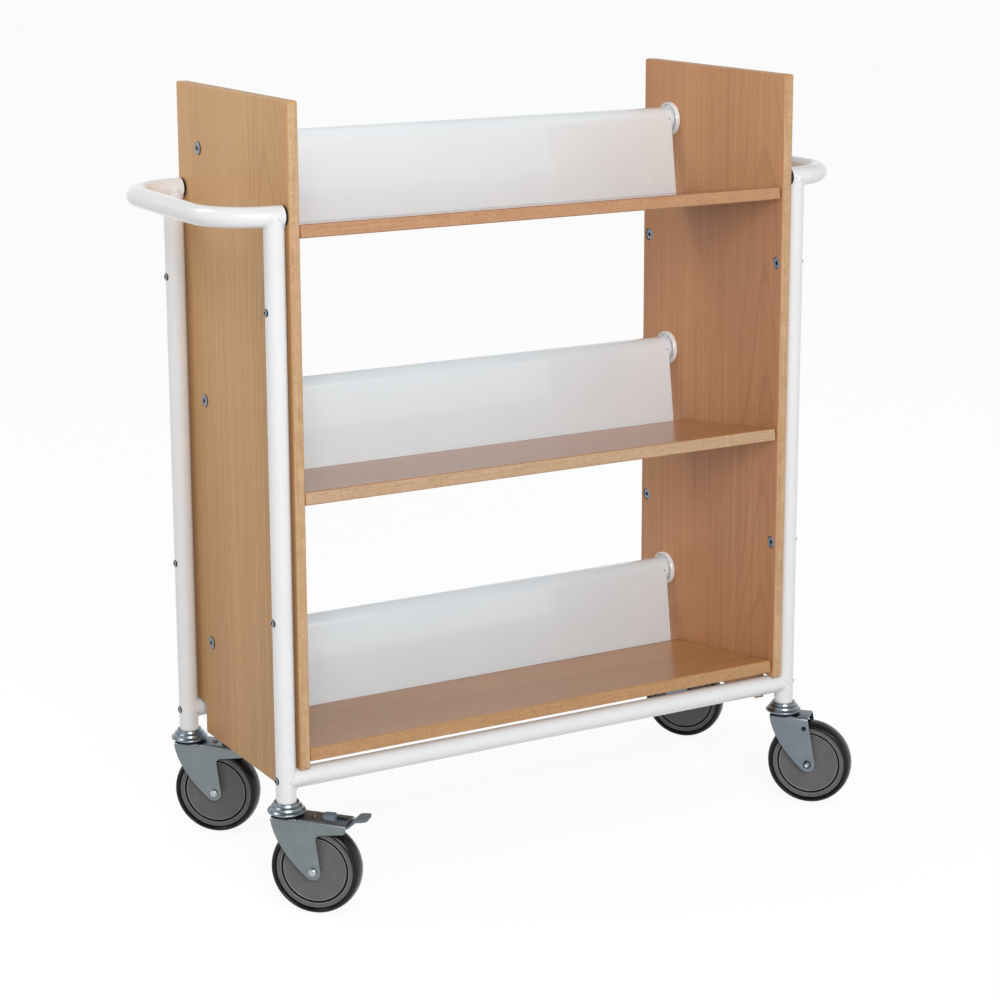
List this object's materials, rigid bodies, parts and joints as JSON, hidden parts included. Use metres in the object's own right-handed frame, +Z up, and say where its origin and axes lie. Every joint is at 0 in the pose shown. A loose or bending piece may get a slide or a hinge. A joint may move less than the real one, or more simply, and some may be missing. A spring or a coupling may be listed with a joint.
{
  "type": "book trolley",
  "caption": "Library book trolley with sloping beech shelves between beech end panels, sheet book stops, white tube legs and push handles, and swivel casters with brakes at one end.",
  "frame": {"origin": "on the floor, below the middle of the space between the end panels", "axes": "+Z up; +X along the shelves to the right end, away from the braked casters; -Y to the side from which books are put in"},
  "size_m": [1.014, 0.4564, 1.1025],
  "materials": {
    "beech": "varnished beech",
    "white_paint": "white powder coat",
    "zinc": "zinc plated",
    "slate": "matt slate grey",
    "grey_plastic": "moulded grey",
    "rubber": "dark rubber",
    "black_plastic": "black moulded"
  },
  "bodies": {
    "frame": {"end_panel_left": "beech", "end_panel_right": "beech", "shelf_bottom": "beech", "shelf_middle": "beech", "shelf_top": "beech", "book_stop_bottom": "white_paint", "flange_bottom_left": "white_paint", "flange_bottom_right": "white_paint", "book_stop_middle": "white_paint", "flange_middle_left": "white_paint", "flange_middle_right": "white_paint", "book_stop_top": "white_paint", "flange_top_left": "white_paint", "flange_top_right": "white_paint", "handle_left": "white_paint", "handle_right": "white_paint", "leg_front_left": "white_paint", "plug_front_left": "black_plastic", "swivel_head_front_left": "zinc", "leg_rear_left": "white_paint", "plug_rear_left": "black_plastic", "swivel_head_rear_left": "zinc", "leg_front_right": "white_paint", "plug_front_right": "black_plastic", "swivel_head_front_right": "zinc", "leg_rear_right": "white_paint", "plug_rear_right": "black_plastic", "swivel_head_rear_right": "zinc", "crossbar_front": "white_paint", "crossbar_rear": "white_paint"},
    "caster_fork_front_left": {"fork_front_left": "zinc", "axle_front_left": "zinc"},
    "caster_wheel_front_left": {"wheel_front_left": "grey_plastic", "tyre_front_left": "rubber"},
    "brake_front_left": {"brake_pedal_front_left": "slate"},
    "caster_fork_rear_left": {"fork_rear_left": "zinc", "axle_rear_left": "zinc"},
    "caster_wheel_rear_left": {"wheel_rear_left": "grey_plastic", "tyre_rear_left": "rubber"},
    "brake_rear_left": {"brake_pedal_rear_left": "slate"},
    "caster_fork_front_right": {"fork_front_right": "zinc", "axle_front_right": "zinc"},
    "caster_wheel_front_right": {"wheel_front_right": "grey_plastic", "tyre_front_right": "rubber"},
    "caster_fork_rear_right": {"fork_rear_right": "zinc", "axle_rear_right": "zinc"},
    "caster_wheel_rear_right": {"wheel_rear_right": "grey_plastic", "tyre_rear_right": "rubber"}
  },
  "joints": [
    {"name": "swivel_front_left", "type": "hinge", "parent": "frame", "child": "caster_fork_front_left", "pos_m": [-0.4145, -0.17, 0.1367], "axis": [0, 0, 1], "continuous": true},
    {"name": "roll_front_left", "type": "hinge", "parent": "caster_fork_front_left", "child": "caster_wheel_front_left", "pos_m": [-0.38414, -0.19931, 0.0635], "axis": [0.6947, 0.7193, 0], "continuous": true},
    {"name": "brake_front_left", "type": "hinge", "parent": "caster_fork_front_left", "child": "brake_front_left", "pos_m": [-0.3694, -0.21355, 0.1275], "axis": [0.6947, 0.7193, 0], "range_deg": [0, 8]},
    {"name": "swivel_rear_left", "type": "hinge", "parent": "frame", "child": "caster_fork_rear_left", "pos_m": [-0.4145, 0.17, 0.1367], "axis": [0, 0, 1], "continuous": true},
    {"name": "roll_rear_left", "type": "hinge", "parent": "caster_fork_rear_left", "child": "caster_wheel_rear_left", "pos_m": [-0.38314, 0.14176, 0.0635], "axis": [0.6691, 0.7431, 0], "continuous": true},
    {"name": "brake_rear_left", "type": "hinge", "parent": "caster_fork_rear_left", "child": "brake_rear_left", "pos_m": [-0.3679, 0.12805, 0.1275], "axis": [0.6691, 0.7431, 0], "range_deg": [0, 8]},
    {"name": "swivel_front_right", "type": "hinge", "parent": "frame", "child": "caster_fork_front_right", "pos_m": [0.4145, -0.17, 0.1367], "axis": [0, 0, 1], "continuous": true},
    {"name": "roll_front_right", "type": "hinge", "parent": "caster_fork_front_right", "child": "caster_wheel_front_right", "pos_m": [0.44301, -0.20111, 0.0635], "axis": [0.7373, 0.6756, 0], "continuous": true},
    {"name": "swivel_rear_right", "type": "hinge", "parent": "frame", "child": "caster_fork_rear_right", "pos_m": [0.4145, 0.17, 0.1367], "axis": [0, 0, 1], "continuous": true},
    {"name": "roll_rear_right", "type": "hinge", "parent": "caster_fork_rear_right", "child": "caster_wheel_rear_right", "pos_m": [0.44328, 0.13914, 0.0635], "axis": [0.7314, 0.682, 0], "continuous": true}
  ]
}
